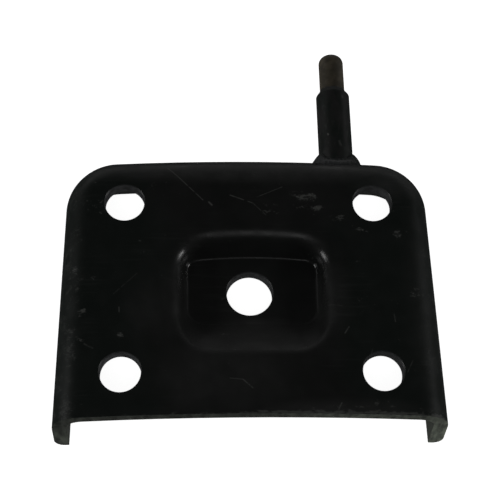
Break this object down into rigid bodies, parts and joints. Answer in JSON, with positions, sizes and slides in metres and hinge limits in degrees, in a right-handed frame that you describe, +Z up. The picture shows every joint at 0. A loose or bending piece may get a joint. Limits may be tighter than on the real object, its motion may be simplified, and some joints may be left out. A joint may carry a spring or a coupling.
{
  "type": "motor mounting bracket",
  "caption": "Pressed steel mounting plate with three flanges, a drawn central recess, round bolt holes and a welded shouldered stud.",
  "frame": {"origin": "centre of the four corner bolt holes, on the flat top face", "axes": "+X across the bracket towards the side nearer the stud, +Y towards the stud, +Z up out of the top face, away from the flanges"},
  "size_m": [0.1269, 0.1441, 0.0214],
  "materials": {
    "plate_paint": "semi-gloss black paint over pressed steel",
    "stud_steel": "semi-gloss black paint on the shoulder, bare dark brown steel on the tip",
    "weld_paint": "semi-gloss black paint over the bead"
  },
  "bodies": {
    "root": {"plate": "plate_paint", "stud": "stud_steel", "stud_weld": "weld_paint"}
  },
  "joints": []
}
